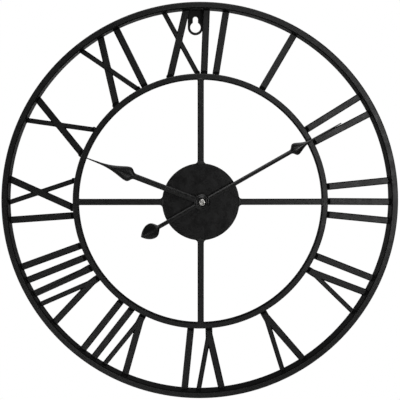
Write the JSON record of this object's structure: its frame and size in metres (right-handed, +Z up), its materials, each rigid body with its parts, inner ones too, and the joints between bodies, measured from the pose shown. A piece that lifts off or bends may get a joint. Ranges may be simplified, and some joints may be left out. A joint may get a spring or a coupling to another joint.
{
  "type": "wall clock",
  "caption": "Open round wall clock: black steel ring and dial ring joined by Roman numerals, four spokes, a disc, spade hands and a battery movement with its gears.",
  "frame": {"origin": "the middle of the outer ring's back, on the wall plane", "axes": "+Y into the wall, the dial faces -Y, +Z up, +X to the right seen from the front"},
  "size_m": [0.4, 0.0287, 0.4],
  "materials": {
    "black_paint": "satin black powder coat on steel",
    "hand_paint": "satin black paint on thin steel",
    "bright_steel": "bright",
    "contact_steel": "plated",
    "brass": "machined",
    "rubber": "matte",
    "case_plastic": "fine texture",
    "grey_plastic": "moulded",
    "white_plastic": "moulded",
    "amber_plastic": "moulded",
    "knob_plastic": "moulded",
    "cell_jacket": "printed jacket, left plain",
    "magnet": "sintered",
    "copper_wire": "enamelled copper wire, brass stands in for copper",
    "board": "glass-fibre board"
  },
  "bodies": {
    "clock_body": {"bush_nut": "brass", "bush_washer": "brass", "centre_disc": "black_paint", "circuit_board": "board", "coil_bobbin": "grey_plastic", "coil_winding": "copper_wire", "dial_ring": "black_paint", "front_case": "case_plastic", "hanger_plate": "black_paint", "negative_contact": "contact_steel", "numeral_10_x_1": "black_paint", "numeral_11_i_2": "black_paint", "numeral_11_x_1": "black_paint", "numeral_12_i_2": "black_paint", "numeral_12_i_3": "black_paint", "numeral_12_x_1": "black_paint", "numeral_1_i_1": "black_paint", "numeral_2_i_1": "black_paint", "numeral_2_i_2": "black_paint", "numeral_3_i_1": "black_paint", "numeral_3_i_2": "black_paint", "numeral_3_i_3": "black_paint", "numeral_4_i_1": "black_paint", "numeral_4_v_2": "black_paint", "numeral_5_v_1": "black_paint", "numeral_6_i_2": "black_paint", "numeral_6_v_1": "black_paint", "numeral_7_i_2": "black_paint", "numeral_7_i_3": "black_paint", "numeral_7_v_1": "black_paint", "numeral_8_i_2": "black_paint", "numeral_8_i_3": "black_paint", "numeral_8_i_4": "black_paint", "numeral_8_v_1": "black_paint", "numeral_9_i_1": "black_paint", "numeral_9_x_2": "black_paint", "outer_ring": "black_paint", "positive_contact": "contact_steel", "quartz_crystal": "bright_steel", "rear_cover": "case_plastic", "rubber_washer": "rubber", "spoke_bottom": "black_paint", "spoke_left": "black_paint", "spoke_right": "black_paint", "spoke_top": "black_paint", "stator": "contact_steel", "train_plate": "grey_plastic"},
    "minute_hand_body": {"cannon_pinion": "brass", "centre_wheel": "white_plastic", "minute_hand": "hand_paint", "hand_nut": "bright_steel"},
    "hour_hand_body": {"hour_wheel": "white_plastic", "hour_hand": "hand_paint"},
    "minute_work_body": {"minute_work_wheel": "white_plastic"},
    "setting_knob_body": {"setting_knob": "knob_plastic"},
    "third_wheel_body": {"third_wheel": "white_plastic"},
    "seconds_wheel_body": {"seconds_wheel": "amber_plastic"},
    "step_wheel_body": {"step_wheel": "white_plastic"},
    "rotor_body": {"rotor": "magnet"},
    "cell_body": {"aa_cell": "cell_jacket"}
  },
  "joints": [
    {"name": "minute_hand_turn", "type": "hinge", "parent": "clock_body", "child": "minute_hand_body", "pos_m": [0.0012, 0, 0], "axis": [0, 1, 0], "continuous": true},
    {"name": "hour_hand_turn", "type": "hinge", "parent": "clock_body", "child": "hour_hand_body", "pos_m": [0.0012, 0, 0], "axis": [0, 1, 0], "continuous": true},
    {"name": "minute_work_turn", "type": "hinge", "parent": "clock_body", "child": "minute_work_body", "pos_m": [-0.00559, 0, 0.00679], "axis": [0, 1, 0], "continuous": true},
    {"name": "setting_knob_turn", "type": "hinge", "parent": "clock_body", "child": "setting_knob_body", "pos_m": [-0.0139, 0, 0.01159], "axis": [0, 1, 0], "continuous": true},
    {"name": "third_wheel_turn", "type": "hinge", "parent": "clock_body", "child": "third_wheel_body", "pos_m": [0.00844, 0, 0.00607], "axis": [0, 1, 0], "continuous": true},
    {"name": "seconds_wheel_turn", "type": "hinge", "parent": "clock_body", "child": "seconds_wheel_body", "pos_m": [0.0012, 0, 0], "axis": [0, 1, 0], "continuous": true},
    {"name": "step_wheel_turn", "type": "hinge", "parent": "clock_body", "child": "step_wheel_body", "pos_m": [0.01094, 0, -0.00354], "axis": [0, 1, 0], "continuous": true},
    {"name": "rotor_turn", "type": "hinge", "parent": "clock_body", "child": "rotor_body", "pos_m": [0.01692, 0, -0.00407], "axis": [0, 1, 0], "continuous": true},
    {"name": "cell_slide", "type": "slide", "parent": "clock_body", "child": "cell_body", "axis": [0, 1, 0], "range_m": [0, 0.02]}
  ],
  "couplings": [
    {"joint": "hour_hand_turn", "follows": "minute_hand_turn", "ratio": 0.083333},
    {"joint": "minute_work_turn", "follows": "minute_hand_turn", "ratio": -0.33333},
    {"joint": "setting_knob_turn", "follows": "minute_hand_turn", "ratio": 1},
    {"joint": "third_wheel_turn", "follows": "minute_hand_turn", "ratio": -8},
    {"joint": "seconds_wheel_turn", "follows": "minute_hand_turn", "ratio": 60},
    {"joint": "rotor_turn", "follows": "step_wheel_turn", "ratio": -5}
  ]
}
